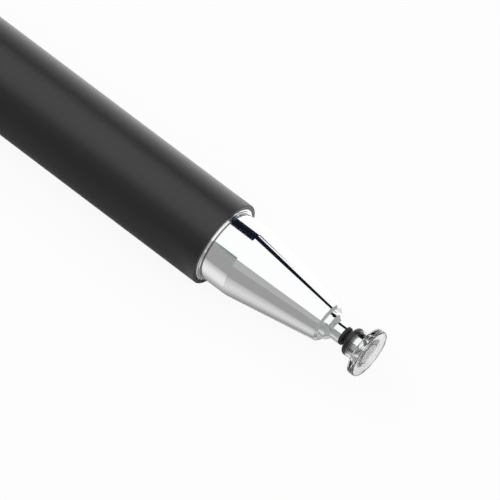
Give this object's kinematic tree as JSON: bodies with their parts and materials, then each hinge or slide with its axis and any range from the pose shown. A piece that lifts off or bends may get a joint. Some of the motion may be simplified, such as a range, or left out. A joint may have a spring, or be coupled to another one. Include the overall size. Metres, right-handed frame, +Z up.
{
  "type": "stylus pen",
  "caption": "Slim stylus pen with a clear disc tip on a ball joint, a bright cone nose, and a push-on cap with a sprung pocket clip posted on its tail.",
  "frame": {"origin": "centre of the barrel's front mouth, on the pen's axis", "axes": "+X along the pen towards its tip, +Z up from the table it lies on, with the clip level on the -Y side"},
  "size_m": [0.1564, 0.0117, 0.0104],
  "materials": {
    "black_tube": "matt black anodised",
    "bright_plate": "mirror polished plate",
    "dark_plate": "smooth dark plate",
    "black_rubber": "soft matt",
    "black_plastic": "satin",
    "clear_plastic": "clear polished",
    "screw_steel": "turned"
  },
  "bodies": {
    "pen": {"barrel": "black_tube", "front_bush": "bright_plate", "nose_washer": "dark_plate", "nose_cone": "bright_plate", "tip_stem": "bright_plate", "cushion_ring": "black_rubber", "tail_bush": "bright_plate", "tail_washer": "dark_plate", "tail_post": "bright_plate"},
    "ball": {"ball_stud": "bright_plate"},
    "socket": {"socket_ring": "black_plastic"},
    "tip_disc": {"disc": "clear_plastic", "contact_plate": "bright_plate"},
    "cap": {"cap_tube": "black_tube", "cap_liner": "black_plastic", "finial": "bright_plate", "finial_screw": "screw_steel"},
    "pocket_clip": {"clip": "bright_plate"}
  },
  "joints": [
    {"name": "ball_spin", "type": "hinge", "parent": "pen", "child": "ball", "pos_m": [0.01937, 0, 0], "axis": [1, 0, 0], "continuous": true},
    {"name": "disc_tilt", "type": "hinge", "parent": "ball", "child": "socket", "pos_m": [0.01937, 0, 0], "axis": [0, 1, 0], "range_deg": [-20, 20]},
    {"name": "disc_spin", "type": "hinge", "parent": "socket", "child": "tip_disc", "pos_m": [0.01937, 0, 0], "axis": [1, 0, 0], "continuous": true},
    {"name": "cap_pull", "type": "slide", "parent": "pen", "child": "cap", "axis": [-1, 0, 0], "range_m": [0, 0.03]},
    {"name": "clip_flex", "type": "hinge", "parent": "cap", "child": "pocket_clip", "pos_m": [-0.13231, -0.00499, 0], "axis": [0, 0, -1], "range_deg": [0, 6], "stiffness_Nm_per_rad": 0.5, "springref_deg": -1.15}
  ]
}
